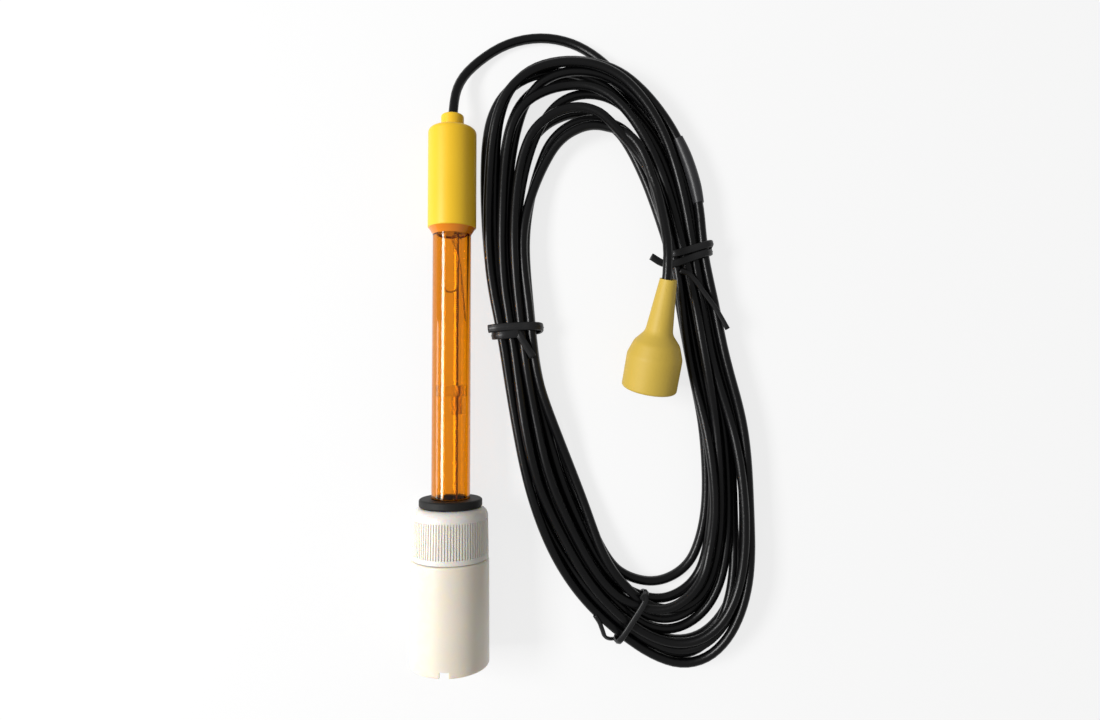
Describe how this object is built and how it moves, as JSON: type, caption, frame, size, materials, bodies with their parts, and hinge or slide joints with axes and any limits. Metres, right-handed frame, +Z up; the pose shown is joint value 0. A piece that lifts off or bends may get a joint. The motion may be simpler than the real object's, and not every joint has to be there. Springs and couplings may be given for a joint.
{
  "type": "redox electrode",
  "caption": "Laboratory redox electrode: amber shaft, yellow cable head, screw-on storage bottle over the tip, and a coiled, tied cable ending in a booted bayonet plug.",
  "frame": {"origin": "on the table, under the middle of the lying electrode's box", "axes": "+Y along the electrode towards its cable end, +Z up, +X across the table towards the coil"},
  "size_m": [0.1078, 0.2046, 0.0252],
  "materials": {
    "amber_plastic": "clear amber moulding, polished",
    "clear_glass": "clear",
    "yellow_plastic": "moulded, semi-gloss",
    "yellow_rubber": "soft, matt",
    "potting": "cast resin",
    "resin": "cast resin, clear",
    "bung_rubber": "matt, tinted",
    "collar_plastic": "moulded, natural",
    "brown_sleeve": "thin sleeve",
    "platinum": "bright wire",
    "copper": "bare wire, dull",
    "silver": "chlorided wire, dull",
    "frit": "fine porous ceramic",
    "white_plastic": "moulded, satin",
    "liner": "soft foam disc",
    "black_rubber": "matt",
    "cable_black": "soft jacket, satin",
    "tie_black": "coated wire tie, satin",
    "shrink_black": "heat-shrunk, satin",
    "nickel": "nickel plated",
    "contact_gold": "plated",
    "insulator_white": "turned, waxy",
    "red_rubber": "soft ring"
  },
  "bodies": {
    "electrode": {"body_tube": "amber_plastic", "tip_plug": "resin", "top_bung": "bung_rubber", "spacer_collar": "collar_plastic", "collar_sleeve": "brown_sleeve", "inner_stem": "clear_glass", "platinum_pin": "platinum", "lead_wire": "copper", "junction_frit": "frit", "reference_wire": "silver", "head_cap": "yellow_plastic", "head_potting": "potting", "plug_body": "nickel", "plug_insulator": "insulator_white", "plug_centre_pin": "contact_gold", "plug_gasket": "red_rubber", "plug_spring_washer": "nickel", "crimp_ferrule": "nickel", "plug_boot": "yellow_rubber", "tie_left": "tie_black", "tie_right": "tie_black", "tie_bottom": "tie_black", "cable_sleeve": "shrink_black", "cable_coil": "cable_black", "cable_lead": "cable_black", "cable_tail": "cable_black"},
    "seal": {"sealing_washer": "black_rubber"},
    "storage_cap": {"storage_cap": "white_plastic", "cap_liner": "liner"},
    "storage_bottle": {"storage_bottle": "white_plastic"},
    "coupling_ring": {"coupling_ring": "nickel"}
  },
  "joints": [
    {"name": "storage_slide", "type": "slide", "parent": "electrode", "child": "seal", "axis": [0, -0.9994, 0.0334], "range_m": [-0.005, 0.06]},
    {"name": "cap_turn", "type": "hinge", "parent": "seal", "child": "storage_cap", "pos_m": [0, -0.04538, 0.01177], "axis": [0, 0.9994, -0.0334], "range_deg": [0, 1080]},
    {"name": "bottle_back_out", "type": "slide", "parent": "seal", "child": "storage_bottle", "axis": [0, -0.9994, 0.0334], "range_m": [0, 0.0097]},
    {"name": "coupling_ring_turn", "type": "hinge", "parent": "electrode", "child": "coupling_ring", "pos_m": [0.06291, 0.00477, 0.0097], "axis": [0.135, 0.9609, 0.2419], "continuous": true}
  ],
  "couplings": [
    {"joint": "bottle_back_out", "follows": "cap_turn", "m_per_rad": 0.0005093}
  ]
}
